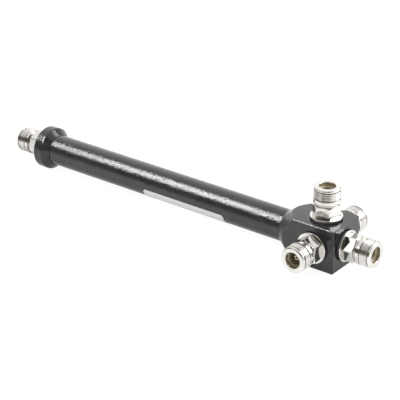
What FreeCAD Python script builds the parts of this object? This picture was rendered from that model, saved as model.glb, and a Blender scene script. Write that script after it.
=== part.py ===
# Four-way coaxial power divider. A round tube carries one stepped inner conductor from the input
# jack to a square junction block, where four output jacks meet the line.
# Millimetres. +X runs along the tube from the input towards the block and +Z is up. The origin is
# the middle of the block's underside, straight below the point where the port axes cross.
import FreeCAD, Part
import math
import os

# Tube, which is the line's outer conductor
tube_diameter = 19.5
tube_wall = 1.5
tube_between_cones = 179.3

# Junction block, square in section, with a turned shoulder towards the tube
block_size = 27.0
block_end_distance = 13.7
block_neck_distance = 25.9
block_cone_half_angle = 35.5
block_edge_radius = 0.6
block_socket_depth = 13.0

# Input collar, round, as wide as the block so that the divider lies level
collar_diameter = block_size
collar_length = 10.8
collar_cone_half_angle = 40.0
collar_edge_chamfer = 0.7

# Both cones leave this much wall round the tube
cone_lip = 0.3

# Running gaps and seats between the pieces
tube_clearance = 0.03
shank_clearance = 0.03
pin_clearance = 0.03
insulator_clearance = 0.02
bead_clearance = 0.04
shank_recess = 0.5
end_clearance = 0.3

# Cutting tools run past the faces that they open by this much
tool_overrun = 1.0

# Jack shell, stacked from the face that it stands on to its mouth
gasket_thickness = 1.1
flange_thickness = 0.8
hex_length = 7.1
hex_relief_width = 1.7
rear_ring_width = 2.2
thread_relief_width = 0.5
thread_length = 4.6
front_relief_width = 0.6
front_ring_width = 1.4

# Jack shell, across
gasket_diameter = 17.6
flange_diameter = 19.0
flange_edge_chamfer = 0.2
hex_across_flats = 14.8
hex_corner_diameter = 17.0
hex_front_chamfer = 0.6
relief_diameter = 14.0
rear_ring_diameter = 16.1
thread_diameter = 15.875
front_ring_diameter = 15.8
front_ring_chamfer = 0.65
shank_diameter = 13.0
shank_chamfer = 0.4

# Jack shell, inside, with depths counted from the mouth
mouth_diameter = 9.6
mouth_depth = 2.2
mouth_cone_depth = 3.3
plug_bore_diameter = 8.1
plug_bore_depth = 9.1
air_line_diameter = 7.0
insulator_depth = 11.0
insulator_diameter = 10.0

# Centre contact
contact_diameter = 3.04
contact_tip_depth = 4.2
contact_tip_chamfer = 0.3
contact_hole_diameter = 1.65
contact_hole_depth = 5.6
contact_slot_width = 0.35
contact_slot_depth = 4.6
contact_barb_diameter = 4.2
contact_barb_length = 2.0
contact_engagement = 2.9

# Inner conductor: a plain run at the line's impedance, then quarter-wave steps down to the hub
line_impedance = 50.0
output_count = 4
step_count = 4
step_length = 44.0
free_space_factor = 59.96
stub_diameter = 5.0
stub_length = 4.0
hub_end_gap = 1.7

# Support beads, each in a groove of the conductor
bead_length = 4.0
bead_groove_depth = 0.5
bead_slit_width = 0.4

# Label on the tube's lower front, counted from the port crossing and from the horizontal
label_near_end = 66.2
label_length = 61.3
label_height = 14.0
label_thickness = 0.12
label_corner_radius = 2.0
label_top_angle = -11.0

# Turn of each jack's hexagon about its own axis, in degrees
hex_turn_of_port = {"input": 12.0, "top": 16.0, "front": 31.0, "rear": 40.0, "end": 23.0}

# Worked out from the sizes above
tube_bore = tube_diameter - 2 * tube_wall
axis_height = block_size / 2
jack_length = (gasket_thickness + flange_thickness + hex_length + hex_relief_width
               + rear_ring_width + thread_relief_width + thread_length
               + front_relief_width + front_ring_width)
port_wall = (block_size - tube_bore) / 2
shank_length = port_wall - shank_recess
collar_face_x = -block_neck_distance - tube_between_cones - collar_length
tube_start_x = collar_face_x + port_wall
tube_end_x = -block_neck_distance + block_socket_depth
cavity_end_x = block_end_distance - port_wall
hub_end_x = cavity_end_x - hub_end_gap


def conductor_radius(impedance):
    """Radius of the inner conductor that gives an air line of this impedance in the tube's bore."""
    return tube_bore / 2 / math.exp(impedance / free_space_factor)


def step_impedances():
    """Impedances of the quarter-wave steps, from the hub outwards, spaced by the binomial rule."""
    impedance = line_impedance / output_count
    values = []
    for step in range(step_count):
        share = math.comb(step_count, step) / 2 ** step_count
        impedance *= output_count ** share
        values.append(impedance)
    return values


step_radii = [conductor_radius(value) for value in step_impedances()]
hub_radius = step_radii[0]
lead_radius = conductor_radius(line_impedance)
contact_tail = block_size / 2 - shank_length - hub_radius + contact_engagement
hub_start_x = -hub_end_x
conductor_start_x = collar_face_x + shank_length + end_clearance
steps_start_x = hub_start_x - step_count * step_length

port_seats = {
    "input": ((collar_face_x, 0, 0), (-1, 0, 0)),
    "top": ((0, 0, block_size / 2), (0, 0, 1)),
    "front": ((0, -block_size / 2, 0), (0, -1, 0)),
    "rear": ((0, block_size / 2, 0), (0, 1, 0)),
    "end": ((block_end_distance, 0, 0), (1, 0, 0)),
}


def turned(profile):
    """A solid turned about Z from a closed outline of (radius, height) points."""
    points = [FreeCAD.Vector(radius, 0, height) for radius, height in profile]
    outline = Part.makePolygon(points + points[:1])
    return Part.Face(outline).revolve(FreeCAD.Vector(0, 0, 0), FreeCAD.Vector(0, 0, 1), 360)


def turned_along_x(profile):
    """The same about X, from (position along X, radius) points."""
    solid = turned([(radius, along) for along, radius in profile])
    solid.rotate(FreeCAD.Vector(0, 0, 0), FreeCAD.Vector(0, 1, 0), 90)
    return solid


def rod_along_x(start, end, radius):
    return Part.makeCylinder(radius, end - start, FreeCAD.Vector(start, 0, 0), FreeCAD.Vector(1, 0, 0))


def hexagon(across_flats, bottom, top):
    corner = across_flats / 2 / math.cos(math.radians(30))
    points = []
    for number in range(7):
        angle = math.radians(60 * number)
        points.append(FreeCAD.Vector(corner * math.cos(angle), corner * math.sin(angle), bottom))
    return Part.Face(Part.makePolygon(points)).extrude(FreeCAD.Vector(0, 0, top - bottom))


def drill(solid, seat, direction, radius, depth):
    """Bore a hole from a port's seat inwards."""
    hole = Part.makeCylinder(radius, depth, FreeCAD.Vector(*seat), FreeCAD.Vector(*direction) * -1)
    return solid.cut(hole)


def make_tube():
    outer = rod_along_x(tube_start_x, tube_end_x, tube_diameter / 2)
    return outer.cut(rod_along_x(tube_start_x, tube_end_x, tube_bore / 2))


def make_junction_block():
    half = block_size / 2
    slope = math.tan(math.radians(block_cone_half_angle))
    neck_radius = tube_diameter / 2 + cone_lip
    corner_radius = math.hypot(half, half) + tool_overrun
    cone_length = (corner_radius - neck_radius) / slope
    stock = Part.makeBox(block_neck_distance + block_end_distance, block_size, block_size,
                         FreeCAD.Vector(-block_neck_distance, -half, -half))
    broken = [edge for edge in stock.Edges if edge.BoundBox.XMax > block_end_distance - 0.001]
    stock = stock.makeFillet(block_edge_radius, broken)
    shoulder = turned_along_x([
        (-block_neck_distance, 0),
        (-block_neck_distance, neck_radius),
        (-block_neck_distance + cone_length, corner_radius),
        (block_end_distance + tool_overrun, corner_radius),
        (block_end_distance + tool_overrun, 0),
    ])
    block = stock.common(shoulder)
    block = block.cut(rod_along_x(-block_neck_distance - tool_overrun, tube_end_x,
                                  tube_diameter / 2 + tube_clearance))
    block = block.cut(rod_along_x(tube_end_x, cavity_end_x, tube_bore / 2))
    for port in ("top", "front", "rear", "end"):
        seat, direction = port_seats[port]
        depth = block_size / 2 if port != "end" else port_wall + shank_clearance
        block = drill(block, seat, direction, shank_diameter / 2 + shank_clearance, depth)
    return block


def make_input_collar():
    radius = collar_diameter / 2
    neck_radius = tube_diameter / 2 + cone_lip
    collar_end_x = collar_face_x + collar_length
    cone_length = (radius - neck_radius) / math.tan(math.radians(collar_cone_half_angle))
    bore_radius = shank_diameter / 2 + shank_clearance
    socket_radius = tube_diameter / 2 + tube_clearance
    return turned_along_x([
        (collar_face_x, bore_radius),
        (collar_face_x, radius - collar_edge_chamfer),
        (collar_face_x + collar_edge_chamfer, radius),
        (collar_end_x - cone_length, radius),
        (collar_end_x, neck_radius),
        (collar_end_x, socket_radius),
        (tube_start_x, socket_radius),
        (tube_start_x, bore_radius),
    ])


def make_jack_shell():
    """The shell with its mouth up: a hexagon with a flange below and three rings above."""
    length = jack_length
    flange_top = gasket_thickness + flange_thickness
    hex_top = flange_top + hex_length
    ring_bottom = hex_top + hex_relief_width
    ring_top = ring_bottom + rear_ring_width
    thread_bottom = ring_top + thread_relief_width
    thread_top = thread_bottom + thread_length
    front_bottom = thread_top + front_relief_width
    shank = shank_diameter / 2
    flange = flange_diameter / 2
    corner = hex_corner_diameter / 2
    relief = relief_diameter / 2
    ring = rear_ring_diameter / 2
    thread = thread_diameter / 2
    front = front_ring_diameter / 2
    blank = turned([
        (insulator_diameter / 2, -shank_length),
        (shank - shank_chamfer, -shank_length),
        (shank, -shank_length + shank_chamfer),
        (shank, gasket_thickness),
        (flange - flange_edge_chamfer, gasket_thickness),
        (flange, gasket_thickness + flange_edge_chamfer),
        (flange, flange_top - flange_edge_chamfer),
        (flange - flange_edge_chamfer, flange_top),
        (corner, flange_top),
        (corner, hex_top - hex_front_chamfer),
        (hex_across_flats / 2, hex_top),
        (relief, hex_top),
        (relief, ring_bottom),
        (ring, ring_bottom),
        (ring, ring_top),
        (relief, ring_top),
        (relief, thread_bottom),
        (thread, thread_bottom),
        (thread, thread_top),
        (relief, thread_top),
        (relief, front_bottom),
        (front, front_bottom),
        (front, length - front_ring_chamfer),
        (front - front_ring_chamfer, length),
        (mouth_diameter / 2, length),
        (mouth_diameter / 2, length - mouth_depth),
        (plug_bore_diameter / 2, length - mouth_cone_depth),
        (plug_bore_diameter / 2, length - plug_bore_depth),
        (air_line_diameter / 2, length - plug_bore_depth),
        (air_line_diameter / 2, length - insulator_depth),
        (insulator_diameter / 2, length - insulator_depth),
    ])
    outside = Part.makeCylinder(flange, hex_length, FreeCAD.Vector(0, 0, flange_top))
    return blank.cut(outside.cut(hexagon(hex_across_flats, flange_top, hex_top)))


def make_jack_gasket():
    inner = shank_diameter / 2 + shank_clearance
    outer = gasket_diameter / 2
    return turned([(inner, 0), (outer, 0), (outer, gasket_thickness), (inner, gasket_thickness)])


def barb_heights():
    middle = (jack_length - insulator_depth - shank_length) / 2
    return middle - contact_barb_length / 2, middle + contact_barb_length / 2


def make_jack_insulator():
    outer = insulator_diameter / 2 - insulator_clearance
    inner = contact_diameter / 2 + insulator_clearance
    barb = contact_barb_diameter / 2 + insulator_clearance
    barb_bottom, barb_top = barb_heights()
    top = jack_length - insulator_depth
    return turned([
        (inner, -shank_length),
        (outer, -shank_length),
        (outer, top),
        (inner, top),
        (inner, barb_top),
        (barb, barb_top),
        (barb, barb_bottom),
        (inner, barb_bottom),
    ])


def make_jack_contact():
    """A pin with a barb inside the insulator and a slotted socket at its tip."""
    radius = contact_diameter / 2
    hole = contact_hole_diameter / 2
    barb = contact_barb_diameter / 2
    barb_bottom, barb_top = barb_heights()
    tip = jack_length - contact_tip_depth
    foot = -shank_length - contact_tail
    pin = turned([
        (0, foot),
        (radius - contact_tip_chamfer, foot),
        (radius, foot + contact_tip_chamfer),
        (radius, barb_bottom),
        (barb, barb_bottom),
        (barb, barb_top),
        (radius, barb_top),
        (radius, tip - contact_tip_chamfer),
        (radius - contact_tip_chamfer, tip),
        (hole, tip),
        (hole, tip - contact_hole_depth),
        (0, tip - contact_hole_depth),
    ])
    reach = contact_diameter + tool_overrun
    for length, width in ((reach, contact_slot_width), (contact_slot_width, reach)):
        corner = FreeCAD.Vector(-length / 2, -width / 2, tip - contact_slot_depth)
        pin = pin.cut(Part.makeBox(length, width, contact_slot_depth + tool_overrun, corner))
    return pin


def make_inner_conductor():
    """One stepped rod, with a socket for the input contact and a stub that enters the hub."""
    profile = [(conductor_start_x, 0), (conductor_start_x, lead_radius), (steps_start_x, lead_radius)]
    for number, radius in enumerate(reversed(step_radii)):
        start = steps_start_x + number * step_length
        profile += [(start, radius), (start + step_length, radius)]
    profile += [
        (hub_start_x, stub_diameter / 2),
        (hub_start_x + stub_length, stub_diameter / 2),
        (hub_start_x + stub_length, 0),
    ]
    conductor = turned_along_x(profile)
    socket_end = collar_face_x + shank_length + contact_tail + end_clearance
    conductor = conductor.cut(rod_along_x(conductor_start_x, socket_end,
                                          contact_diameter / 2 + pin_clearance))
    for centre, radius in bead_places():
        groove = rod_along_x(centre - bead_length / 2, centre + bead_length / 2,
                             radius + tool_overrun)
        core = rod_along_x(centre - bead_length / 2, centre + bead_length / 2,
                           radius - bead_groove_depth)
        conductor = conductor.cut(groove.cut(core))
    return conductor


def bead_places():
    """Middle and conductor radius of the plain run and of the second step after it."""
    lead_middle = (conductor_start_x + contact_tail + steps_start_x) / 2
    second_step_middle = steps_start_x + 1.5 * step_length
    return (lead_middle, lead_radius), (second_step_middle, step_radii[-2])


def make_support_bead(centre, conductor_size):
    """A ring slit on one side, so that it snaps into the conductor's groove."""
    start = centre - bead_length / 2
    end = centre + bead_length / 2
    inner = conductor_size - bead_groove_depth + bead_clearance
    ring = rod_along_x(start, end, tube_bore / 2 - bead_clearance).cut(rod_along_x(start, end, inner))
    slit = Part.makeBox(bead_length, bead_slit_width, tube_bore,
                        FreeCAD.Vector(start, -bead_slit_width / 2, 0))
    return ring.cut(slit)


def make_junction_hub():
    """The drum where the conductor's stub and the four output contacts meet."""
    hub = rod_along_x(hub_start_x, hub_end_x, hub_radius)
    hub = hub.cut(rod_along_x(hub_start_x, hub_start_x + stub_length + end_clearance,
                              stub_diameter / 2 + pin_clearance))
    reach = shank_length + contact_tail + end_clearance
    for port in ("top", "front", "rear", "end"):
        seat, direction = port_seats[port]
        hub = drill(hub, seat, direction, contact_diameter / 2 + pin_clearance, reach)
    return hub


def make_label():
    """A thin foil bent round the tube, cut to a rectangle with rounded corners."""
    start = -label_near_end - label_length
    radius = tube_diameter / 2
    half_angle = math.degrees(label_height / 2 / radius)
    foil = rod_along_x(start, -label_near_end, radius + label_thickness)
    foil = foil.cut(rod_along_x(start, -label_near_end, radius))
    half_width = radius * math.sin(math.radians(half_angle))
    outline = Part.makeBox(label_length, 2 * half_width, tube_diameter,
                           FreeCAD.Vector(start, -half_width, 0))
    upright = [edge for edge in outline.Edges if edge.BoundBox.ZLength > tube_diameter / 2]
    outline = outline.makeFillet(label_corner_radius, upright)
    middle_angle = 90 - label_top_angle + half_angle
    outline.rotate(FreeCAD.Vector(0, 0, 0), FreeCAD.Vector(1, 0, 0), middle_angle)
    return foil.common(outline)


def place_on_port(solid, port, turn=0.0):
    """Stand a jack piece, modelled mouth up on Z = 0, on a port's seat."""
    seat, direction = port_seats[port]
    placed = solid.copy()
    placed.rotate(FreeCAD.Vector(0, 0, 0), FreeCAD.Vector(0, 0, 1), turn)
    lean = FreeCAD.Rotation(FreeCAD.Vector(0, 0, 1), FreeCAD.Vector(*direction))
    placed.Placement = FreeCAD.Placement(FreeCAD.Vector(*seat), lean).multiply(placed.Placement)
    return placed


def save(name, solid):
    solid = solid.copy()
    solid.translate(FreeCAD.Vector(0, 0, axis_height))
    solid.exportStep(f"parts/{name}.step")
    print(name, len(solid.Solids), round(solid.Volume, 1))


def main():
    os.makedirs("parts", exist_ok=True)
    save("tube", make_tube())
    save("junction_block", make_junction_block())
    save("input_collar", make_input_collar())
    save("inner_conductor", make_inner_conductor())
    save("junction_hub", make_junction_hub())
    for name, (centre, radius) in zip(("support_bead_input", "support_bead_middle"), bead_places()):
        save(name, make_support_bead(centre, radius))
    save("label", make_label())
    shell = make_jack_shell()
    gasket = make_jack_gasket()
    insulator = make_jack_insulator()
    contact = make_jack_contact()
    for port in port_seats:
        turn = hex_turn_of_port[port]
        save(f"{port}_jack_shell", place_on_port(shell, port, turn))
        save(f"{port}_jack_gasket", place_on_port(gasket, port))
        save(f"{port}_jack_insulator", place_on_port(insulator, port))
        save(f"{port}_jack_contact", place_on_port(contact, port, turn))


main()
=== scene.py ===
# Looks of the four-way coaxial power divider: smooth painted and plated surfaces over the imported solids.
# Sizes are in millimetres and become metres when a mesh is made.
import bpy
import bmesh
import math
import numpy as np
from mathutils import Matrix, Vector


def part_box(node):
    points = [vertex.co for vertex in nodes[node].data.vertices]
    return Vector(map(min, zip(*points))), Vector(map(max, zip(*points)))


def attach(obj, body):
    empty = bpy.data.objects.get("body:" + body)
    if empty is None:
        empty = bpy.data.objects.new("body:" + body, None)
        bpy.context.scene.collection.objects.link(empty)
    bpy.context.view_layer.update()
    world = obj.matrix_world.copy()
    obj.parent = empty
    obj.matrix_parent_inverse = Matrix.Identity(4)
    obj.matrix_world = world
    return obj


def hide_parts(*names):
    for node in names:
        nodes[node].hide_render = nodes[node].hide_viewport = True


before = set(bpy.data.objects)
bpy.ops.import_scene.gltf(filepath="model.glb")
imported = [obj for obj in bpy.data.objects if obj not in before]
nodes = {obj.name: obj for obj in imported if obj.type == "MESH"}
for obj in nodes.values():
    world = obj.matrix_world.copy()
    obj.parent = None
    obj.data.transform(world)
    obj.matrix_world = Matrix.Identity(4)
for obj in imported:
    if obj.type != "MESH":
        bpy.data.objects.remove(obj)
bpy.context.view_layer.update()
millimetre = 0.001
weldDistance = 3e-7  # in metres: points nearer than this become one
creaseAngle = 40  # in degrees: faces that meet at more than this keep a sharp edge
print("frame loaded with", len(nodes), "nodes")

# sizes that several pieces share, the same as the solids'
body = {
    "axisHeight": 13.5,
    "blockHalf": 13.5,
    "blockEnd": 13.7,
    "blockNeck": -25.9,
    "blockSocketEnd": -12.9,
    "collarFace": -216.0,
    "tubeRadius": 9.75,
    "boreRadius": 8.25,
    "socketRadius": 9.78,
    "neckRadius": 10.05,
    "shankHole": 6.53,
    "shankEnd": -4.75,
}

# seat of each jack from the port crossing, where its own x, y and z axes go, and its hexagon's turn
ports = {
    "input": {"seat": (body["collarFace"], 0, 0), "axes": ((0, 0, 1), (0, 1, 0), (-1, 0, 0)), "turn": 12},
    "top": {"seat": (0, 0, body["blockHalf"]), "axes": ((1, 0, 0), (0, 1, 0), (0, 0, 1)), "turn": 16},
    "front": {"seat": (0, -body["blockHalf"], 0), "axes": ((1, 0, 0), (0, 0, 1), (0, -1, 0)), "turn": 31},
    "rear": {"seat": (0, body["blockHalf"], 0), "axes": ((1, 0, 0), (0, 0, -1), (0, 1, 0)), "turn": 40},
    "end": {"seat": (body["blockEnd"], 0, 0), "axes": ((0, 0, -1), (0, 1, 0), (1, 0, 0)), "turn": 23},
}
alongTube = {"seat": (0, 0, 0), "axes": ((0, 0, -1), (0, 1, 0), (1, 0, 0)), "turn": 0}


# points of a piece modelled mouth up, turned about its axis and stood on its seat
def placed(points, seat):
    turn = math.radians(seat["turn"])
    spin = np.array([[math.cos(turn), -math.sin(turn), 0], [math.sin(turn), math.cos(turn), 0], [0, 0, 1]])
    lift = np.array([0, 0, body["axisHeight"]])
    return points @ spin.T @ np.array(seat["axes"], float) + np.array(seat["seat"], float) + lift


# one mesh from several grids of points: neighbours along rows and columns make quads, a wrapped
# direction joins its last line to its first, and points that coincide are welded, as at a pole.
# The surface map counts turns across and millimetres along, with 1 for a wrap. rowSlots gives each
# row's place in the list of materials, and edge is a mask for pale flecks, partly wear and partly a painted
# highlight
def meshFromGrids(name, grids):
    points, quads, uvs, slots, edges = [], [], [], [], []
    offset = 0
    for grid in grids:
        rows, columns = grid["points"].shape[:2]
        index = np.arange(rows * columns).reshape(rows, columns) + offset
        along = np.linalg.norm(np.diff(grid["points"][:, 0], axis=0), axis=1)
        v = np.concatenate([[0], np.cumsum(along)])
        u = np.arange(columns + 1) / columns
        if grid.get("wrapRows", True):
            index = np.vstack([index, index[:1]])
            v = np.append(v, v[-1] + 1)
        if grid.get("wrapColumns", True):
            index = np.hstack([index, index[:, :1]])
        corner = np.stack(np.meshgrid(v, u[:index.shape[1]], indexing="ij")[::-1], axis=-1)
        ring = [(slice(None, -1), slice(None, -1)), (slice(None, -1), slice(1, None)),
                (slice(1, None), slice(1, None)), (slice(1, None), slice(None, -1))]
        quad = np.stack([index[part] for part in ring], axis=-1).reshape(-1, 4)
        uv = np.stack([corner[part] for part in ring], axis=-2).reshape(-1, 2)
        rowSlot = np.asarray(grid.get("rowSlots", np.zeros(rows)), float)
        rowSlot = np.append(rowSlot, rowSlot[0])[:index.shape[0]]
        points.append(grid["points"].reshape(-1, 3))
        quads.append(quad)
        uvs.append(uv)
        slots.append(np.repeat(rowSlot[1:], index.shape[1] - 1))
        edges.append(np.asarray(grid.get("edge", np.zeros((rows, columns))), float).reshape(-1))
        offset += rows * columns
    mesh = bpy.data.meshes.new(name)
    mesh.from_pydata((np.concatenate(points) * millimetre).tolist(), [], np.concatenate(quads).tolist())
    layer = mesh.uv_layers.new(name="surface")
    layer.data.foreach_set("uv", np.concatenate(uvs).ravel().astype(np.float32))
    mesh.polygons.foreach_set("material_index", np.concatenate(slots).astype(np.int32))
    edge = mesh.attributes.new("edge", "FLOAT", "POINT")
    edge.data.foreach_set("value", np.concatenate(edges).astype(np.float32))
    work = bmesh.new()
    work.from_mesh(mesh)
    bmesh.ops.remove_doubles(work, verts=work.verts, dist=weldDistance)
    work.to_mesh(mesh)
    work.free()
    mesh.update()
    return mesh


# a finished piece: smooth shading with creases above an angle, its materials, its body, and the solids it
# hides
def makePiece(name, mesh, materials, replaced, crease=creaseAngle):
    piece = bpy.data.objects.new(name, mesh)
    bpy.context.scene.collection.objects.link(piece)
    for material in materials:
        mesh.materials.append(material)
    mesh.shade_smooth()
    mesh.set_sharp_from_angle(angle=math.radians(crease))
    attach(piece, "root")
    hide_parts(*replaced)
    return piece


# share of a side that one corner's rounding may take, and where the point that holds the flat may lie
rounding = {"mostOfSide": 0.4, "holdReach": 1.8, "mostHold": 0.48}


# an outline whose corners C become (1-t)^2 A + 2t(1-t) C + t^2 B, with A and B a little before and
# after C, and one more point beyond each that keeps the flats flat; columns past the first two ride along
def roundedOutline(corners, roundness, steps=4):
    corners = np.array(corners, float)
    roundness = np.broadcast_to(np.asarray(roundness, float).reshape(-1, 1), (len(corners), 1))
    before = np.roll(corners, 1, axis=0) - corners
    after = np.roll(corners, -1, axis=0) - corners
    lengthBefore = np.linalg.norm(before[:, :2], axis=1, keepdims=True)
    lengthAfter = np.linalg.norm(after[:, :2], axis=1, keepdims=True)
    shareBefore = np.minimum(roundness / lengthBefore, rounding["mostOfSide"])
    shareAfter = np.minimum(roundness / lengthAfter, rounding["mostOfSide"])
    start = (corners + before * shareBefore)[:, None]
    end = (corners + after * shareAfter)[:, None]
    t = np.linspace(0, 1, steps + 1)[None, :, None]
    curve = (1 - t) ** 2 * start + 2 * t * (1 - t) * corners[:, None] + t ** 2 * end
    reach, most = rounding["holdReach"], rounding["mostHold"]
    holdBefore = (corners + before * np.minimum(shareBefore * reach, most))[:, None]
    holdAfter = (corners + after * np.minimum(shareAfter * reach, most))[:, None]
    return np.concatenate([holdBefore, curve, holdAfter], axis=1).reshape(-1, corners.shape[1])


# more points on an outline where a column is at its full value of 1, spread evenly along the path
def withMoreRows(outline, column, count):
    step = np.linalg.norm(np.diff(outline[:, :2], axis=0), axis=1)
    along = np.concatenate([[0], np.cumsum(step + 1e-7)])  # always rising, also over points that coincide
    full = along[isFull(outline[:, column])]
    wanted = np.union1d(along, np.linspace(full.min(), full.max(), count + 2)[1:-1])
    return np.stack([np.interp(wanted, along, outline[:, part]) for part in range(outline.shape[1])], axis=1)


# where a column that blends between 0 and 1 has reached 1
def isFull(column):
    return column > 0.999


# a turned surface: (radius cos a, radius sin a, height) for every outline point and angle
def turnedGrid(outline, angles, radii=None):
    radii = np.repeat(outline[:, :1], len(angles), axis=1) if radii is None else radii
    heights = np.repeat(outline[:, 1:2], len(angles), axis=1)
    return np.stack([radii * np.cos(angles), radii * np.sin(angles), heights], axis=-1)


def evenAngles(count):
    return np.arange(count) / count * 2 * np.pi


# angles that crowd towards the corners of a regular polygon: a = s - w sin(n s) / n
def crowdedAngles(count, sides, crowding):
    even = evenAngles(count)
    return even - crowding * np.sin(sides * even) / sides


# the smaller of two values, with the crease between them eased: -w ln(e^(-a/w) + e^(-b/w))
def softMin(a, b, width):
    low = np.minimum(a, b)
    return low - width * np.log(np.exp((low - a) / width) + np.exp((low - b) / width))


# distance from the axis to a polygon's side: (sum over the flats of (cos(a - flat) / half)^p)^(-1/p),
# which rounds the corners a little
def polygonRadius(angles, sides, halfAcross, firstFlat, power):
    flats = firstFlat + np.arange(sides) * 2 * np.pi / sides
    reach = np.maximum(np.cos(angles[:, None] - flats[None, :]), 0) / halfAcross
    return np.sum(reach ** power, axis=1) ** (-1 / power)


# an empty node group with named inputs, each with its value, and named outputs
def newGroup(name, inputs, outputs):
    group = bpy.data.node_groups.new(name, "ShaderNodeTree")
    for label, value in inputs:
        socket = group.interface.new_socket(name=label, in_out="INPUT", socket_type="NodeSocketFloat")
        socket.default_value = value
    for label, kind in outputs:
        group.interface.new_socket(name=label, in_out="OUTPUT", socket_type=kind)
    entry = group.nodes.new("NodeGroupInput")
    leave = group.nodes.new("NodeGroupOutput")
    return group, entry, leave


def mathNode(tree, operation, first, second=None):
    node = tree.nodes.new("ShaderNodeMath")
    node.operation = operation
    for socket, value in zip(node.inputs, (first, second)):
        if isinstance(value, bpy.types.NodeSocket):
            tree.links.new(value, socket)
        elif value is not None:
            socket.default_value = value
    return node.outputs[0]


def noiseNode(tree, vector, scale, detail=2.0, roughness=0.5):
    node = tree.nodes.new("ShaderNodeTexNoise")
    node.inputs["Detail"].default_value = detail
    node.inputs["Roughness"].default_value = roughness
    tree.links.new(vector, node.inputs["Vector"])
    if isinstance(scale, bpy.types.NodeSocket):
        tree.links.new(scale, node.inputs["Scale"])
    else:
        node.inputs["Scale"].default_value = scale
    return node.outputs["Fac"]


# a value carried from one range to another and held inside it
def rampNode(tree, value, source, target=(0.0, 1.0)):
    node = tree.nodes.new("ShaderNodeMapRange")
    tree.links.new(value, node.inputs["Value"])
    for label, limit in zip(("From Min", "From Max", "To Min", "To Max"), (*source, *target)):
        node.inputs[label].default_value = limit
    return node.outputs["Result"]


# a colour between two, each a constant or another node's output
def mixColour(tree, share, first, second):
    node = tree.nodes.new("ShaderNodeMix")
    node.data_type = "RGBA"
    tree.links.new(share, node.inputs["Factor"])
    ends = [socket for socket in node.inputs if socket.type == "RGBA"]
    for socket, colour in zip(ends, (first, second)):
        if isinstance(colour, bpy.types.NodeSocket):
            tree.links.new(colour, socket)
        else:
            socket.default_value = (*colour, 1)
    return [socket for socket in node.outputs if socket.type == "RGBA"][0]


# a normal bumped by a height, whose unit is a depth in mm
def bumpNode(tree, height, depth):
    node = tree.nodes.new("ShaderNodeBump")
    node.inputs["Strength"].default_value = 1.0
    tree.links.new(mathNode(tree, "MULTIPLY", depth, millimetre), node.inputs["Distance"])
    tree.links.new(height, node.inputs["Height"])
    return node.outputs["Normal"]


# orange peel: rounded cells, height = (distance to the cell's middle)^2, and a finer noise over them,
# on Object coordinates with sizes in mm, as a bumped normal; the tone is a slow cloudiness
peelLook = {"cellSmoothness": 0.35, "finerBy": 1.9, "cloudSize": 6.25, "cloudRange": (0.3, 0.7)}


def makePeelGroup():
    group, entry, leave = newGroup(
        "orangePeel",
        [("Peel Size", 1.2), ("Peel Depth", 0.02), ("Fine Share", 0.4)],
        [("Normal", "NodeSocketVector"), ("Tone", "NodeSocketFloat")],
    )
    place = group.nodes.new("ShaderNodeTexCoord").outputs["Object"]
    scale = mathNode(group, "DIVIDE", 1 / millimetre, entry.outputs["Peel Size"])
    cells = group.nodes.new("ShaderNodeTexVoronoi")
    cells.feature = "SMOOTH_F1"
    cells.inputs["Smoothness"].default_value = peelLook["cellSmoothness"]
    group.links.new(place, cells.inputs["Vector"])
    group.links.new(scale, cells.inputs["Scale"])
    domes = mathNode(group, "MULTIPLY", cells.outputs["Distance"], cells.outputs["Distance"])
    fine = noiseNode(group, place, mathNode(group, "MULTIPLY", scale, peelLook["finerBy"]), detail=1.0)
    height = mathNode(group, "ADD", domes, mathNode(group, "MULTIPLY", fine, entry.outputs["Fine Share"]))
    group.links.new(bumpNode(group, height, entry.outputs["Peel Depth"]), leave.inputs["Normal"])
    clouds = noiseNode(group, place, 1 / millimetre / peelLook["cloudSize"], detail=3.0)
    group.links.new(rampNode(group, clouds, peelLook["cloudRange"]), leave.inputs["Tone"])
    return group


# handling marks: soft stains and fine specks on Object coordinates, as masks, and a slight waviness
marksLook = {"stainRange": (0.42, 0.70), "speckPerMetre": 1900.0, "speckRange": (0.49, 0.56)}


def makeMarksGroup():
    group, entry, leave = newGroup(
        "handlingMarks",
        [("Stain Size", 6.0), ("Wave Size", 3.0), ("Wave Depth", 0.003)],
        [("Stain", "NodeSocketFloat"), ("Speck", "NodeSocketFloat"), ("Normal", "NodeSocketVector")],
    )
    place = group.nodes.new("ShaderNodeTexCoord").outputs["Object"]
    stainScale = mathNode(group, "DIVIDE", 1 / millimetre, entry.outputs["Stain Size"])
    waveScale = mathNode(group, "DIVIDE", 1 / millimetre, entry.outputs["Wave Size"])
    stain = noiseNode(group, place, stainScale, detail=4.0, roughness=0.6)
    speck = noiseNode(group, place, marksLook["speckPerMetre"], roughness=0.6)
    wave = noiseNode(group, place, waveScale)
    group.links.new(rampNode(group, stain, marksLook["stainRange"]), leave.inputs["Stain"])
    group.links.new(rampNode(group, speck, marksLook["speckRange"]), leave.inputs["Speck"])
    group.links.new(bumpNode(group, wave, entry.outputs["Wave Depth"]), leave.inputs["Normal"])
    return group


# lathe marks: a one-dimensional noise along the outline, from the piece's own surface map in mm
latheLook = {"streakRange": (0.3, 0.7)}


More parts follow.
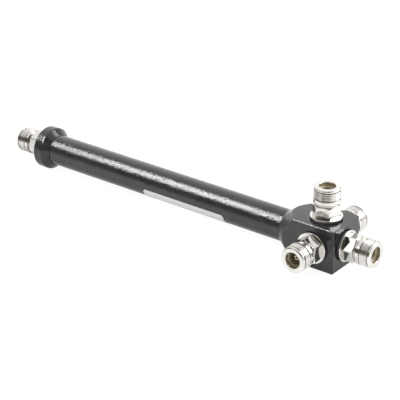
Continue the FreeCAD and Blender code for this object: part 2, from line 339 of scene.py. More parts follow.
def makeLatheGroup():
    group, entry, leave = newGroup(
        "latheMarks",
        [("Feed", 0.12), ("Depth", 0.0006)],
        [("Normal", "NodeSocketVector"), ("Streak", "NodeSocketFloat")],
    )
    place = group.nodes.new("ShaderNodeTexCoord").outputs["UV"]
    split = group.nodes.new("ShaderNodeSeparateXYZ")
    group.links.new(place, split.inputs[0])
    line = group.nodes.new("ShaderNodeTexNoise")
    line.noise_dimensions = "1D"
    line.inputs["Scale"].default_value = 1.0
    line.inputs["Detail"].default_value = 1.0
    group.links.new(mathNode(group, "DIVIDE", split.outputs["Y"], entry.outputs["Feed"]), line.inputs["W"])
    group.links.new(bumpNode(group, line.outputs["Fac"], entry.outputs["Depth"]), leave.inputs["Normal"])
    group.links.new(rampNode(group, line.outputs["Fac"], latheLook["streakRange"]), leave.inputs["Streak"])
    return group


def newMaterial(name, settings):
    material = bpy.data.materials.new(name)
    material.use_nodes = True
    tree = material.node_tree
    shader = tree.nodes["Principled BSDF"]
    for label, value in settings.items():
        shader.inputs[label].default_value = value
    return material, tree, shader


def addGroup(tree, group, settings):
    node = tree.nodes.new("ShaderNodeGroup")
    node.node_tree = group
    for label, value in settings.items():
        node.inputs[label].default_value = value
    return node


peelGroup = makePeelGroup()
marksGroup = makeMarksGroup()
latheGroup = makeLatheGroup()
print("node groups ready")


# black paint: near-black with a cloudy tone, an orange-peel skin, and pale flecks where a piece's edge
# mask is above 0, partly wear and partly a painted highlight along the edge
paintLook = {
    "dark": (0.013, 0.013, 0.0135),
    "cloudy": (0.023, 0.023, 0.0235),
    # pale flecks on the edges: partly wear, partly a painted highlight along the edge
    "wornAndGlint": (0.75, 0.75, 0.74),
    "fineShare": 0.1,
    "stainSize": 9.0,
    "roughness": (0.06, 0.12),
    "tubePeel": {"Peel Size": 0.74, "Peel Depth": 0.085},
    "blockPeel": {"Peel Size": 0.75, "Peel Depth": 0.03},
}


def makePaint(name, peelSettings):
    material, tree, shader = newMaterial(name, {"IOR": 1.5})
    peel = addGroup(tree, peelGroup, {"Fine Share": paintLook["fineShare"], **peelSettings})
    marks = addGroup(tree, marksGroup, {"Stain Size": paintLook["stainSize"]})
    base = mixColour(tree, peel.outputs["Tone"], paintLook["dark"], paintLook["cloudy"])
    edge = tree.nodes.new("ShaderNodeAttribute")
    edge.attribute_name = "edge"
    # edge mask times specks: pale flecks, partly wear and partly a painted highlight
    wornAndGlint = mathNode(tree, "MULTIPLY", edge.outputs["Fac"], marks.outputs["Speck"])
    tree.links.new(mixColour(tree, wornAndGlint, base, paintLook["wornAndGlint"]), shader.inputs["Base Color"])
    gloss = rampNode(tree, marks.outputs["Stain"], (0.0, 1.0), paintLook["roughness"])
    tree.links.new(gloss, shader.inputs["Roughness"])
    tree.links.new(peel.outputs["Normal"], shader.inputs["Normal"])
    return material


# plated and bare metal: two tones by the stain mask, and lathe marks that also change the roughness
metalLook = {
    "edgeTint": (0.72, 0.72, 0.72, 1),
    "stainSize": 5.0,
    "lathe": {"Feed": 0.12, "Depth": 0.0006},
    "nickelPlate": {"tones": ((0.70, 0.685, 0.66), (0.645, 0.625, 0.59)), "roughness": (0.05, 0.09)},
    "threadNickel": {"tones": ((0.70, 0.68, 0.65), (0.64, 0.62, 0.58)), "roughness": (0.18, 0.24)},
    # darker nickel for the grooves between the rings: painted shade in the recesses
    "grooveShadeNickel": {"tones": ((0.50, 0.48, 0.445), (0.42, 0.40, 0.365)), "roughness": (0.22, 0.30)},
    # darker, browner metal inside the bore: painted shade in the jack's mouth
    "boreShadeMetal": {"tones": ((0.56, 0.515, 0.385), (0.47, 0.425, 0.31)), "roughness": (0.66, 0.76)},
    "contactGold": {"tones": ((0.98, 0.93, 0.80), (0.90, 0.80, 0.60)), "roughness": (0.45, 0.55)},
    "bareBrass": {"tones": ((0.76, 0.60, 0.33), (0.62, 0.47, 0.24)), "roughness": (0.18, 0.28)},
}


def makeMetal(name):
    form = metalLook[name]
    material, tree, shader = newMaterial(name, {"Metallic": 1.0, "Specular Tint": metalLook["edgeTint"]})
    marks = addGroup(tree, marksGroup, {"Stain Size": metalLook["stainSize"]})
    lathe = addGroup(tree, latheGroup, metalLook["lathe"])
    base = mixColour(tree, marks.outputs["Stain"], *form["tones"])
    tree.links.new(base, shader.inputs["Base Color"])
    gloss = rampNode(tree, lathe.outputs["Streak"], (0.0, 1.0), form["roughness"])
    tree.links.new(gloss, shader.inputs["Roughness"])
    tree.links.new(lathe.outputs["Normal"], shader.inputs["Normal"])
    return material


# plain solids such as rubber and fluoropolymer: two tones by the stain mask and a faint waviness
plainLook = {
    "marks": {"Stain Size": 3.0, "Wave Size": 0.7},
    "whiteFluoropolymer": {"tones": ((0.80, 0.79, 0.75), (0.72, 0.70, 0.65)), "waveDepth": 0.004,
                           "surface": {"Roughness": 0.45}},
    "blackRubber": {"tones": ((0.100, 0.098, 0.096), (0.130, 0.127, 0.124)), "waveDepth": 0.01,
                    "surface": {"Roughness": 0.5}},
    "silverLabel": {"tones": ((0.49, 0.49, 0.485), (0.45, 0.45, 0.445)), "waveDepth": 0.004,
                    "surface": {"Roughness": 0.32, "Coat Weight": 0.3}},
}


def makePlain(name):
    form = plainLook[name]
    material, tree, shader = newMaterial(name, form["surface"])
    marks = addGroup(tree, marksGroup, {"Wave Depth": form["waveDepth"], **plainLook["marks"]})
    base = mixColour(tree, marks.outputs["Stain"], *form["tones"])
    tree.links.new(base, shader.inputs["Base Color"])
    tree.links.new(marks.outputs["Normal"], shader.inputs["Normal"])
    return material


tubePaint = makePaint("tubePaint", paintLook["tubePeel"])
blackPaint = makePaint("glossBlackPaint", paintLook["blockPeel"])
nickel = makeMetal("nickelPlate")
threadNickel = makeMetal("threadNickel")
grooveShadeNickel = makeMetal("grooveShadeNickel")
boreShadeMetal = makeMetal("boreShadeMetal")
contactGold = makeMetal("contactGold")
bareBrass = makeMetal("bareBrass")
whiteFluoropolymer = makePlain("whiteFluoropolymer")
blackRubber = makePlain("blackRubber")
silverLabel = makePlain("silverLabel")
print("materials ready")


# tube: a plain turned wall, (radius, x) outline closed round its section
tubeForm = {"columns": 160, "edgeRound": 0.15}


def makeTube():
    low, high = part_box("tube")
    start, end = low.x / millimetre, high.x / millimetre
    outer, inner = body["tubeRadius"], body["boreRadius"]
    corners = [(inner, start), (outer, start), (outer, end), (inner, end)]
    outline = roundedOutline(corners, tubeForm["edgeRound"])
    points = placed(turnedGrid(outline, evenAngles(tubeForm["columns"])), alongTube)
    mesh = meshFromGrids("tubeSkin", [{"points": points}])
    makePiece("tubeSkin", mesh, [tubePaint], ["tube"])


# collar: turned outline with a chamfered face, a cone r = neck + (end - x) tan(angle) and the sockets
# for shank and tube
collarForm = {"columns": 160, "chamfer": 0.7, "length": 10.8, "coneAngle": 40.0, "socketDepth": 5.25,
              "roundness": [0.1, 0.3, 0.3, 0.5, 0.12, 0.05, 0.05, 0.05]}


def makeCollar():
    face = body["collarFace"]
    radius, neck = body["blockHalf"], body["neckRadius"]
    end = face + collarForm["length"]
    coneStart = end - (radius - neck) / math.tan(math.radians(collarForm["coneAngle"]))
    corners = [
        (body["shankHole"], face),
        (radius - collarForm["chamfer"], face),
        (radius, face + collarForm["chamfer"]),
        (radius, coneStart),
        (neck, end),
        (body["socketRadius"], end),
        (body["socketRadius"], face + collarForm["socketDepth"]),
        (body["shankHole"], face + collarForm["socketDepth"]),
    ]
    outline = roundedOutline(corners, collarForm["roundness"])
    points = placed(turnedGrid(outline, evenAngles(collarForm["columns"])), alongTube)
    mesh = meshFromGrids("collarSkin", [{"points": points}])
    makePiece("collarSkin", mesh, [blackPaint], ["input_collar"])


# block: rays round the tube's axis meet the cone r = neck + (x - start) tan(angle) up to where the square
# takes over, then the square with its corners rounded, and the same rounding over the end face. The rows
# then run inwards over the end face, down the end port and back through the cavity to the tube's socket.
# Rows are shares of a length, crowded where the surface turns
blockForm = {
    "columns": 320,
    "crowding": 0.82,
    "coneAngle": 35.5,
    "edgeRadius": 0.6,
    "creaseWidth": 0.06,
    "coneRows": 26,
    "flatRows": 40,
    "flatCrowding": 0.6,
    "roundRows": 8,
    "faceRows": (0.02, 0.1, 0.4, 0.8, 0.97, 1.0),
    "portDepth": 5.25,
    "portColumns": 96,
    "cutterOverrun": 1.0,
    "holdRow": 0.1,
    "lipWidth": 0.12,
    "lipRound": (0.03, 0.02),
    "wearAndGlintReach": 0.22,
    "wearAndGlintFade": 0.6,
}


# distance from the axis to a square whose corners are arcs about (core, core): half / cos on the flats
# and core (cos + sin) + sqrt(radius^2 - core^2 (cos - sin)^2) on the arcs
def squareRadius(angles, core, radius):
    folded = np.abs((angles + np.pi / 4) % (np.pi / 2) - np.pi / 4)
    half = core + radius
    onArc = folded > np.arctan2(core, half)
    inside = np.maximum(radius ** 2 - core ** 2 * (np.cos(folded) - np.sin(folded)) ** 2, 0)
    arc = core * (np.cos(folded) + np.sin(folded)) + np.sqrt(inside)
    return np.where(onArc, arc, half / np.cos(folded))


def makeBlock():
    form = blockForm
    angles = crowdedAngles(form["columns"], 4, form["crowding"]) + np.pi / 4
    core = body["blockHalf"] - form["edgeRadius"]
    slope = math.tan(math.radians(form["coneAngle"]))
    neckX, neckR, endX = body["blockNeck"], body["neckRadius"], body["blockEnd"]
    square = squareRadius(angles, core, form["edgeRadius"])[None, :]
    meet = neckX + (square - neckR) / slope
    lastFlat = endX - form["edgeRadius"]
    u = np.linspace(0, 1, form["coneRows"])[:, None]
    v = np.linspace(0, 1, form["flatRows"])[1:, None]
    coneX = neckX + (meet - neckX) * (1 - (1 - u) ** 2)
    flatX = meet + (lastFlat - meet) * (form["flatCrowding"] * v ** 2 + (1 - form["flatCrowding"]) * v)
    sideX = np.concatenate([coneX, flatX])
    sideR = softMin(neckR + (sideX - neckX) * slope, square + 0 * sideX, form["creaseWidth"])
    turn = np.linspace(0, np.pi / 2, form["roundRows"] + 1)[1:, None]
    roundX = lastFlat + form["edgeRadius"] * np.sin(turn) + 0 * square
    shrink = np.cos(turn)[:, 0]
    roundR = np.stack([squareRadius(angles, core, form["edgeRadius"] * share) for share in shrink])
    w = np.array(form["faceRows"])[:, None]
    faceR = roundR[-1:] * (1 - w) + body["shankHole"] * w
    faceX = endX + 0 * faceR
    lipR, lipX = form["lipRound"]
    inner = np.array([
        (body["shankHole"], endX - form["holdRow"]),
        (body["shankHole"], endX - form["portDepth"]),
        (body["boreRadius"], endX - form["portDepth"]),
        (body["boreRadius"], body["blockSocketEnd"]),
        (body["socketRadius"], body["blockSocketEnd"]),
        (body["socketRadius"], neckX + form["holdRow"]),
        (body["socketRadius"], neckX),
        (neckR - form["lipWidth"], neckX),
        (neckR - lipR, neckX + lipX),
    ])
    innerR = inner[:, :1] + 0 * square
    innerX = inner[:, 1:] + 0 * square
    radius = np.concatenate([sideR, roundR, faceR, innerR])
    x = np.concatenate([sideX, roundX, faceX, innerX])
    points = np.stack([x, radius * np.sin(angles), radius * np.cos(angles)], axis=-1)
    points[..., 2] += body["axisHeight"]
    # pale flecks on the long edges, partly wear and partly a painted highlight: e ^ -(distance from the
    # corner / reach)^2, fading in where the flats begin
    fromCorner = np.abs(square * np.sin((angles[None, :] % (np.pi / 2)) - np.pi / 4))
    longEdge = np.exp(-(fromCorner / form["wearAndGlintReach"]) ** 2)
    edge = longEdge * np.clip((x - meet) / form["wearAndGlintFade"] + 0.5, 0, 1) * (x < lastFlat)
    mesh = meshFromGrids("blockSkin", [{"points": points[:, ::-1], "edge": edge[:, ::-1]}])
    block = makePiece("blockSkin", mesh, [blackPaint], ["junction_block"])
    drillPorts(block)


# the three cross ports are bored by cylinders and the modifiers are applied
def drillPorts(block):
    cutters = []
    for name in ("top", "front", "rear"):
        radius, depth, overrun = body["shankHole"], body["blockHalf"], blockForm["cutterOverrun"]
        outline = np.array([(0, -depth), (radius, -depth), (radius, overrun), (0, overrun)])
        grid = placed(turnedGrid(outline, evenAngles(blockForm["portColumns"])), ports[name])
        mesh = meshFromGrids("portCutter", [{"points": grid, "wrapRows": False}])
        mesh.materials.append(blackPaint)
        cutter = bpy.data.objects.new("portCutter", mesh)
        bpy.context.scene.collection.objects.link(cutter)
        cutters.append(cutter)
        drill = block.modifiers.new(name, "BOOLEAN")
        drill.operation = "DIFFERENCE"
        drill.solver = "EXACT"
        drill.object = cutter
    bpy.context.view_layer.update()
    bored = bpy.data.meshes.new_from_object(block.evaluated_get(bpy.context.evaluated_depsgraph_get()))
    block.modifiers.clear()
    block.data = bored
    bored.name = "blockSkin"
    bored.shade_smooth()
    bored.set_sharp_from_angle(angle=math.radians(creaseAngle))
    for cutter in cutters:
        bpy.data.objects.remove(cutter)


# label: a closed thin sheet bent round the tube, from its top angle down; its half height follows a
# quarter circle near both ends
labelForm = {"start": -127.5, "end": -66.2, "topAngle": 101.0, "height": 14.0, "thickness": 0.12,
             "cornerRadius": 2.0, "rows": 12, "columns": 48, "crease": 30}


def makeLabel():
    form = labelForm
    t = np.linspace(0, np.pi / 2, form["rows"])
    inset = form["cornerRadius"] * (1 - np.sin(t))
    x = np.concatenate([form["start"] + form["cornerRadius"] * (1 - np.cos(t)),
                        (form["end"] - form["cornerRadius"] * (1 - np.cos(t)))[::-1]])
    lost = np.concatenate([inset, inset[::-1]])
    radius = body["tubeRadius"]
    half = form["height"] / 2 / radius - lost / radius
    spread = np.linspace(-1, 1, form["columns"])
    middle = math.radians(form["topAngle"]) + form["height"] / 2 / radius
    angle = middle + half[:, None] * np.concatenate([spread, spread[::-1]])[None, :]
    sheet = np.repeat([radius + form["thickness"], radius], form["columns"])
    reach = np.repeat(sheet[None, :], len(x), axis=0)
    between = np.full((1, 2 * form["columns"]), radius + form["thickness"] / 2)
    reach = np.concatenate([between, reach, between])
    angle = np.concatenate([angle[:1], angle, angle[-1:]])
    x = np.concatenate([x[:1], x, x[-1:]])[:, None] + 0 * angle
    points = np.stack([x, -reach * np.sin(angle), reach * np.cos(angle) + body["axisHeight"]], axis=-1)
    mesh = meshFromGrids("labelSheet", [{"points": points[:, ::-1], "wrapRows": False}])
    makePiece("labelSheet", mesh, [silverLabel], ["label"], form["crease"])


makeTube()
makeCollar()
makeBlock()
makeLabel()
print("painted body and label ready")


# jack shell: a turned outline of (radius, height, roundness, hexagon, inside, thread). Where the hexagon
# column is 1 the radius is held inside a rounded hexagon, and where the thread column is 1 a helical wave
# depth (1 - cos(2 pi (height / pitch - angle / 2 pi))) / 2 is cut into it. The grooves between the rings
# are the outside rows below grooveRadius, and get a darker nickel as painted shade in the grooves
shellForm = {
    "columns": 192,
    "crowding": 0.72,
    "hexHalfAcross": 7.4,
    "hexFirstFlat": 30,
    "hexPower": 70,
    "hexCrease": 0.05,
    "threadPitch": 1.058,
    "threadDepth": 0.24,
    "grooveRadius": 7.3,
    "grooveFrom": 9.05,
    "grooveTo": 18.7,
    "threadRows": 64,
    "hexRows": 24,
    "outline": [
        (5.00, body["shankEnd"], 0.05, 0, 1, 0),
        (6.10, body["shankEnd"], 0.05, 0, 0, 0),
        (6.50, body["shankEnd"] + 0.40, 0.05, 0, 0, 0),
        (6.50, 1.10, 0.05, 0, 0, 0),
        (9.30, 1.10, 0.10, 0, 0, 0),
        (9.50, 1.30, 0.12, 0, 0, 0),
        (9.50, 1.70, 0.12, 0, 0, 0),
        (9.30, 1.90, 0.12, 0, 0, 0),
        (8.50, 1.90, 0.10, 1, 0, 0),
        (8.50, 8.40, 0.12, 1, 0, 0),
        (7.40, 9.00, 0.10, 1, 0, 0),
        (7.00, 9.00, 0.10, 1, 0, 0),
        (7.00, 10.70, 0.10, 0, 0, 0),
        (8.05, 10.70, 0.22, 0, 0, 0),
        (8.05, 12.90, 0.22, 0, 0, 0),
        (7.00, 12.90, 0.10, 0, 0, 0),
        (7.00, 13.40, 0.08, 0, 0, 0),
        (7.9375, 13.40, 0.10, 0, 0, 1),
        (7.9375, 18.00, 0.10, 0, 0, 1),
        (7.00, 18.00, 0.08, 0, 0, 0),
        (7.00, 18.60, 0.08, 0, 0, 0),
        (7.90, 18.60, 0.18, 0, 0, 0),
        (7.90, 19.35, 0.30, 0, 0, 0),
        (7.25, 20.00, 0.40, 0, 0, 0),
        (4.80, 20.00, 0.45, 0, 0, 0),
        (4.80, 17.80, 0.15, 0, 1, 0),
        (4.05, 16.70, 0.15, 0, 1, 0),
        (4.05, 10.90, 0.08, 0, 1, 0),
        (3.50, 10.90, 0.08, 0, 1, 0),
        (3.50, 9.00, 0.05, 0, 1, 0),
        (5.00, 9.00, 0.05, 0, 1, 0),
    ],
}


def makeShellGrid():
    form = shellForm
    corners = np.array(form["outline"])
    outline = roundedOutline(corners[:, [0, 1, 3, 4, 5]], corners[:, 2])
    hexColumn, threadColumn = 2, 4  # places of the hexagon and thread columns, now without the roundness
    outline = withMoreRows(outline, threadColumn, form["threadRows"])
    outline = withMoreRows(outline, hexColumn, form["hexRows"])
    outer, height, hexagonal, inside, threaded = outline.T[..., None]
    angles = crowdedAngles(form["columns"], 6, form["crowding"])
    firstFlat = math.radians(form["hexFirstFlat"])
    hexagon = polygonRadius(angles, 6, form["hexHalfAcross"], firstFlat, form["hexPower"])
    radius = outer + 0 * angles
    held = softMin(radius, hexagon + 0 * radius, form["hexCrease"])
    radius = np.where(isFull(hexagonal), held, radius)
    wave = height / form["threadPitch"] - angles / (2 * np.pi)
    radius = radius - threaded * form["threadDepth"] * (1 - np.cos(2 * np.pi * wave)) / 2
    plate, bore, thread, groove = range(4)  # places in the shell's list of materials
    # inside rows take the darker bore metal and low outside rows the darker groove nickel, both painted shade
    slots = np.where(inside > 0.5, bore, np.where(threaded > 0.5, thread, plate))
    low = (outer < form["grooveRadius"]) & (height > form["grooveFrom"]) & (height < form["grooveTo"])
    slots = np.where(low & (slots == plate), groove, slots)
    return turnedGrid(outline, angles, radius), slots[:, 0]


# contact: a turned pin with a barb, and four tines whose section is a quarter ring between two slots,
# carried along the axis and drawn in at the tip
contactForm = {
    "radius": 1.52, "hole": 0.825, "barb": 2.1, "barbFrom": 1.125, "barbTo": 3.125,
    "slotFloor": 11.2, "holeFloor": 10.2, "tip": 15.8, "chamfer": 0.3, "slotHalf": 0.175,
    "rootBelow": 0.2, "holdAbove": 0.1, "shoulderInset": 0.05, "shoulderShare": 0.4, "tipInset": 0.16,
    "holeBreak": 0.05, "columns": 72, "arcPoints": 16,
    "roundness": (0, 0.05, 0.05, 0.05, 0.05, 0.05, 0.05, 0.03, 0.03, 0.03, 0),
}


def makeContactGrids(foot):
    form = contactForm
    outer, inner, tip = form["radius"], form["hole"], form["tip"]
    corners = [
        (0, foot),
        (outer - form["chamfer"], foot),
        (outer, foot + form["chamfer"]),
        (outer, form["barbFrom"]),
        (form["barb"], form["barbFrom"]),
        (form["barb"], form["barbTo"]),
        (outer, form["barbTo"]),
        (outer, form["slotFloor"]),
        (inner, form["slotFloor"]),
        (inner, form["holeFloor"]),
        (0, form["holeFloor"]),
    ]
    outline = roundedOutline(corners, form["roundness"], steps=3)
    grids = [{"points": turnedGrid(outline, evenAngles(form["columns"])), "wrapRows": False}]
    # rows of a tine, as (outer radius, inner radius, height), closed at both ends on its middle radius
    middle = (outer + inner) / 2
    root = form["slotFloor"] - form["rootBelow"]
    rows = np.array([
        (middle, middle, root),
        (outer, inner, root),
        (outer, inner, form["slotFloor"] + form["holdAbove"]),
        (outer, inner, tip - form["chamfer"] - form["holdAbove"]),
        (outer, inner, tip - form["chamfer"]),
        (outer - form["shoulderInset"], inner, tip - form["chamfer"] * form["shoulderShare"]),
        (outer - form["tipInset"], inner + form["holeBreak"], tip),
        (middle, middle, tip),
    ])
    share = np.linspace(0, 1, form["arcPoints"])
    outerTrim = np.arcsin(form["slotHalf"] / rows[:, :1])
    innerTrim = np.arcsin(form["slotHalf"] / rows[:, 1:2])
    outerAngle = outerTrim + (np.pi / 2 - 2 * outerTrim) * share
    innerAngle = innerTrim + (np.pi / 2 - 2 * innerTrim) * share[::-1]
    angle = np.concatenate([outerAngle, innerAngle], axis=1)
    reach = np.concatenate([rows[:, :1] + 0 * outerAngle, rows[:, 1:2] + 0 * innerAngle], axis=1)
    for quarter in range(4):
        turned = angle + quarter * np.pi / 2
        tine = np.stack([reach * np.cos(turned), reach * np.sin(turned), rows[:, 2:] + 0 * turned], axis=-1)
        grids.append({"points": tine, "wrapRows": False})
    return grids


# insulator: a turned sleeve with a groove for the contact's barb
insulatorForm = {"outer": 4.98, "inner": 1.54, "barb": 2.12, "top": 9.0, "roundness": 0.06, "columns": 96}


def makeInsulatorGrid():
    form = insulatorForm
    foot, top = body["shankEnd"], form["top"]
    barbFrom, barbTo = contactForm["barbFrom"], contactForm["barbTo"]
    corners = [
        (form["inner"], foot),
        (form["outer"], foot),
        (form["outer"], top),
        (form["inner"], top),
        (form["inner"], barbTo),
        (form["barb"], barbTo),
        (form["barb"], barbFrom),
        (form["inner"], barbFrom),
    ]
    outline = roundedOutline(corners, form["roundness"], steps=3)
    return turnedGrid(outline, evenAngles(form["columns"]))


# gasket: a turned ring round the shank, more rounded outside
gasketForm = {"outer": 8.8, "thickness": 1.1, "roundness": (0.05, 0.3, 0.3, 0.05), "columns": 128}


def makeGasketGrid():
    inner, outer, top = body["shankHole"], gasketForm["outer"], gasketForm["thickness"]
    corners = [(inner, 0), (outer, 0), (outer, top), (inner, top)]
    outline = roundedOutline(corners, gasketForm["roundness"], steps=5)
    return turnedGrid(outline, evenAngles(gasketForm["columns"]))


# one jack's pieces are worked out mouth up and then stood on each of the five seats
def makeJacks():
    shellGrid, shellSlots = makeShellGrid()
    insulatorGrid, gasketGrid = makeInsulatorGrid(), makeGasketGrid()
    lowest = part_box("top_jack_contact")[0].z / millimetre
    foot = lowest - body["axisHeight"] - body["blockHalf"]
    contactGrids = makeContactGrids(foot)
    shellMetals = [nickel, boreShadeMetal, threadNickel, grooveShadeNickel]
    for port, seat in ports.items():
        parts = (
            ("Shell", [{"points": shellGrid, "rowSlots": shellSlots}], shellMetals, "nickel_plate"),
            ("Contact", contactGrids, [contactGold], "gold_plate"),
            ("Insulator", [{"points": insulatorGrid}], [whiteFluoropolymer], "white_fluoropolymer"),
            ("Gasket", [{"points": gasketGrid}], [blackRubber], "black_rubber"),
        )
        for part, grids, materials, slot in parts:
            stood = [{**grid, "points": placed(grid["points"], seat)} for grid in grids]
            mesh = meshFromGrids(port + part, stood)
            makePiece(port + part, mesh, materials, [port + "_jack_" + part.lower()])


makeJacks()
print("five jacks ready")

# the inner line stays as its solids, with brass on the conductor and hub and white beads
innerLook = {
    "inner_conductor": bareBrass,
    "junction_hub": bareBrass,
    "support_bead_input": whiteFluoropolymer,
    "support_bead_middle": whiteFluoropolymer,
}
for name, material in innerLook.items():
    nodes[name].data.materials.clear()
    nodes[name].data.materials.append(material)


# studio: a pale floor, white surroundings, three softboxes, and cards that only reflections show
dimCard = (0.10, 0.088, 0.068)  # the dark room in front of the object
studio = {
    "aim": (-0.10, 0.0, 0.014),
    "ambient": 0.5,
    "seenInGloss": 0.95,
    "cardRadius": 3.0,
    "cardColumns": 40,
    "boxDistance": 2.4,
    "sparingShells": ("softbox", "frontBox"),
    "cards": {
        "frontCard": {"azimuth": (195, 318), "elevation": (0, 29.5), "colour": dimCard},
        "rightCard": {"azimuth": (308, 342), "elevation": (29.5, 63), "colour": dimCard},
        "cameraCard": {"azimuth": (252, 308), "elevation": (29.5, 45), "colour": dimCard},
        "whiteCard": {"azimuth": (229, 248), "elevation": (31, 50), "colour": (1.6, 1.6, 1.6)},
        "backCard": {"azimuth": (92, 165), "elevation": (3, 42), "colour": (1.5, 1.5, 1.5)},
        "highCard": {"azimuth": (92, 192), "elevation": (42, 62), "colour": (1.15, 1.15, 1.15)},
    },
    "boxes": {
        "softbox": {"to": (-0.55, -0.415, 0.72), "across": (1, 0, 0), "size": (0.50, 1.15), "radiance": 26.5},
        "sideBox": {"to": (0.58, 0.58, 0.58), "across": (-1, 1, 0), "size": (1.5, 1.9), "radiance": 5.5},
        "frontBox": {"to": (0.10, -0.73, 0.68), "across": (1, 0, 0), "size": (0.6, 0.6), "radiance": 24.0},
    },
}

# floor seen by looking rays: white for the camera; in reflections it carries painted light that fades towards
# the front with the distance d from the block's front, as far + near / (1 + (d / reach) ^ fall), and a
# painted contact shadow close to the body by the share contactShare e ^ (-gap / contactReach). Its lengths
# are in metres
floorLook = {
    "size": 6.0,
    "plain": (0.80, 0.80, 0.80),
    "shownShare": 0.12,
    "shownGlow": 0.93,
    "far": 0.33,
    "near": 1.00,
    "reach": 0.13,
    "fall": 1.3,
    "frontEdge": body["blockHalf"] * millimetre,
    "endEdge": body["blockEnd"] * millimetre,
    "contactShare": 0.5,
    "contactReach": 0.014,
}


def floorGloss(tree):
    place = tree.nodes.new("ShaderNodeTexCoord").outputs["Object"]
    split = tree.nodes.new("ShaderNodeSeparateXYZ")
    tree.links.new(place, split.inputs[0])
    forwards = mathNode(tree, "MULTIPLY", split.outputs["Y"], -1.0)
    ahead = mathNode(tree, "SUBTRACT", forwards, floorLook["frontEdge"])
    scaled = mathNode(tree, "DIVIDE", mathNode(tree, "MAXIMUM", ahead, 0.0), floorLook["reach"])
    falling = mathNode(tree, "ADD", mathNode(tree, "POWER", scaled, floorLook["fall"]), 1.0)
    openLevel = mathNode(tree, "ADD", mathNode(tree, "DIVIDE", floorLook["near"], falling), floorLook["far"])
    # painted contact shadow in reflections: the floor's glow drops close to the body
    sideways = mathNode(tree, "ABSOLUTE", split.outputs["Y"])
    sideGap = mathNode(tree, "SUBTRACT", sideways, floorLook["frontEdge"])
    endGap = mathNode(tree, "SUBTRACT", split.outputs["X"], floorLook["endEdge"])
    gap = mathNode(tree, "MAXIMUM", mathNode(tree, "MAXIMUM", sideGap, endGap), 0.0)
    reached = mathNode(tree, "EXPONENT", mathNode(tree, "DIVIDE", gap, -floorLook["contactReach"]))
    kept = mathNode(tree, "SUBTRACT", 1.0, mathNode(tree, "MULTIPLY", reached, floorLook["contactShare"]))
    return mathNode(tree, "MULTIPLY", openLevel, kept)


# floor: a square whose material takes the object's shadow as a diffuse surface and glows to looking rays
def makeFloor():
    half = floorLook["size"] / 2
    mesh = bpy.data.meshes.new("floor")
    corners = [(-half, -half, 0), (half, -half, 0), (half, half, 0), (-half, half, 0)]
    mesh.from_pydata(corners, [], [(0, 1, 2, 3)])
    floor = bpy.data.objects.new("floor", mesh)
    bpy.context.scene.collection.objects.link(floor)
    material = bpy.data.materials.new("paleFloor")
    material.use_nodes = True
    tree = material.node_tree
    tree.nodes.remove(tree.nodes["Principled BSDF"])
    path = tree.nodes.new("ShaderNodeLightPath")
    mirrored = mathNode(tree, "MAXIMUM", path.outputs["Is Glossy Ray"], path.outputs["Is Transmission Ray"])
    looking = mathNode(tree, "MAXIMUM", path.outputs["Is Camera Ray"], mirrored)
    diffuse = tree.nodes.new("ShaderNodeBsdfDiffuse")
    shown = [floorLook["shownShare"] * part for part in floorLook["plain"]]
    tree.links.new(mixColour(tree, looking, floorLook["plain"], shown), diffuse.inputs["Color"])
    straight = mathNode(tree, "MULTIPLY", path.outputs["Is Camera Ray"], floorLook["shownGlow"])
    strength = mathNode(tree, "ADD", straight, mathNode(tree, "MULTIPLY", mirrored, floorGloss(tree)))
    glow = tree.nodes.new("ShaderNodeEmission")
    tree.links.new(strength, glow.inputs["Strength"])
    both = tree.nodes.new("ShaderNodeAddShader")
    tree.links.new(diffuse.outputs[0], both.inputs[0])
    tree.links.new(glow.outputs[0], both.inputs[1])
    tree.links.new(both.outputs[0], tree.nodes["Material Output"].inputs["Surface"])
    mesh.materials.append(material)


# a card is a band of a wide cylinder round the object: (R cos a, R sin a, R tan e)
def makeCard(name, form):
    count = studio["cardColumns"]
    azimuths = np.radians(np.linspace(*form["azimuth"], count))
    slopes = np.tan(np.radians(np.array(form["elevation"], float)))
    ring = np.stack([np.cos(azimuths), np.sin(azimuths), 0 * azimuths], axis=-1)
    points = np.concatenate([ring + np.array([0, 0, slope]) for slope in slopes]) * studio["cardRadius"]
    first = np.arange(count - 1)
    quads = np.stack([first, first + 1, first + count + 1, first + count], axis=-1)
    mesh = bpy.data.meshes.new(name)
    mesh.from_pydata(points.tolist(), [], quads.tolist())
    card = bpy.data.objects.new(name, mesh)
    bpy.context.scene.collection.objects.link(card)
    card.visible_camera = False
    card.visible_diffuse = False
    card.visible_shadow = False
    material = bpy.data.materials.new(name)
    material.use_nodes = True
    tree = material.node_tree
    tree.nodes.remove(tree.nodes["Principled BSDF"])
    glow = tree.nodes.new("ShaderNodeEmission")
    glow.inputs["Color"].default_value = (*form["colour"], 1)
    tree.links.new(glow.outputs[0], tree.nodes["Material Output"].inputs["Surface"])
    mesh.materials.append(material)


# a softbox faces the object from its direction, and its power follows from its radiance and area
def makeSoftbox(name, form):
    direction = Vector(form["to"]).normalized()
    lamp = bpy.data.lights.new(name, "AREA")
    lamp.shape = "RECTANGLE"
    lamp.size, lamp.size_y = form["size"]
    lamp.energy = form["radiance"] * math.pi * lamp.size * lamp.size_y
    box = bpy.data.objects.new(name, lamp)
    bpy.context.scene.collection.objects.link(box)
    across = Vector(form["across"])
    across = (across - direction * across.dot(direction)).normalized()
    up = direction.cross(across)
    turn = Matrix((across, up, direction)).transposed()
    place = Vector(studio["aim"]) + direction * studio["boxDistance"]
    box.matrix_world = Matrix.Translation(place) @ turn.to_4x4()
    box.visible_camera = False
    return box


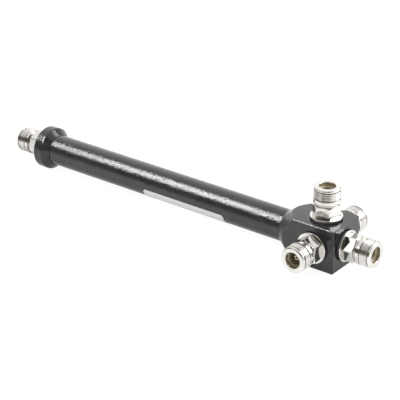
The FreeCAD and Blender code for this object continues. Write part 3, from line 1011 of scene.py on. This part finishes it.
# the two brightest boxes leave the plated shells out, whose metal would otherwise clip to white
def linkBoxes(boxes):
    receivers = bpy.data.collections.new("allButShells")
    for port in ports:
        receivers.objects.link(bpy.data.objects[port + "Shell"])
    for entry in receivers.collection_objects:
        entry.light_linking.link_state = "EXCLUDE"
    for name in studio["sparingShells"]:
        boxes[name].light_linking.receiver_collection = receivers


# surroundings: white for looking rays, and dimmer as light on the object
def makeWorld():
    world = bpy.data.worlds.new("whiteStudio")
    bpy.context.scene.world = world
    world.use_nodes = True
    tree = world.node_tree
    ground = tree.nodes["Background"]
    ground.inputs["Color"].default_value = (1, 1, 1, 1)
    path = tree.nodes.new("ShaderNodeLightPath")
    looking = mathNode(tree, "MAXIMUM", path.outputs["Is Camera Ray"], path.outputs["Is Glossy Ray"])
    looking = mathNode(tree, "MAXIMUM", looking, path.outputs["Is Transmission Ray"])
    extra = mathNode(tree, "MULTIPLY", looking, studio["seenInGloss"] - studio["ambient"])
    tree.links.new(mathNode(tree, "ADD", extra, studio["ambient"]), ground.inputs["Strength"])


makeFloor()
for cardName, cardForm in studio["cards"].items():
    makeCard(cardName, cardForm)
linkBoxes({boxName: makeSoftbox(boxName, boxForm) for boxName, boxForm in studio["boxes"].items()})
makeWorld()
print("studio ready")

# camera at the photograph's viewing angle, from its position and the directions it looks and holds up
cameraPlace = {
    "position": (0.409136, -0.643898, 0.409774),
    "forward": (-0.55083, 0.70967, -0.43927),
    "up": (-0.26491, 0.35043, 0.89834),
    "lens": 135.0,
    "sensor": 36.0,
    "clip": (0.01, 50.0),
}


def makeCamera():
    forward = Vector(cameraPlace["forward"]).normalized()
    right = forward.cross(Vector(cameraPlace["up"])).normalized()
    up = right.cross(forward)
    lens = bpy.data.cameras.new("camera")
    lens.lens = cameraPlace["lens"]
    lens.sensor_width = cameraPlace["sensor"]
    lens.sensor_fit = "HORIZONTAL"
    lens.clip_start, lens.clip_end = cameraPlace["clip"]
    camera = bpy.data.objects.new("camera", lens)
    bpy.context.scene.collection.objects.link(camera)
    turn = Matrix((right, up, -forward)).transposed()
    camera.matrix_world = Matrix.Translation(Vector(cameraPlace["position"])) @ turn.to_4x4()
    bpy.context.scene.camera = camera


makeCamera()
bpy.context.scene.view_settings.view_transform = "Standard"
print("camera ready")
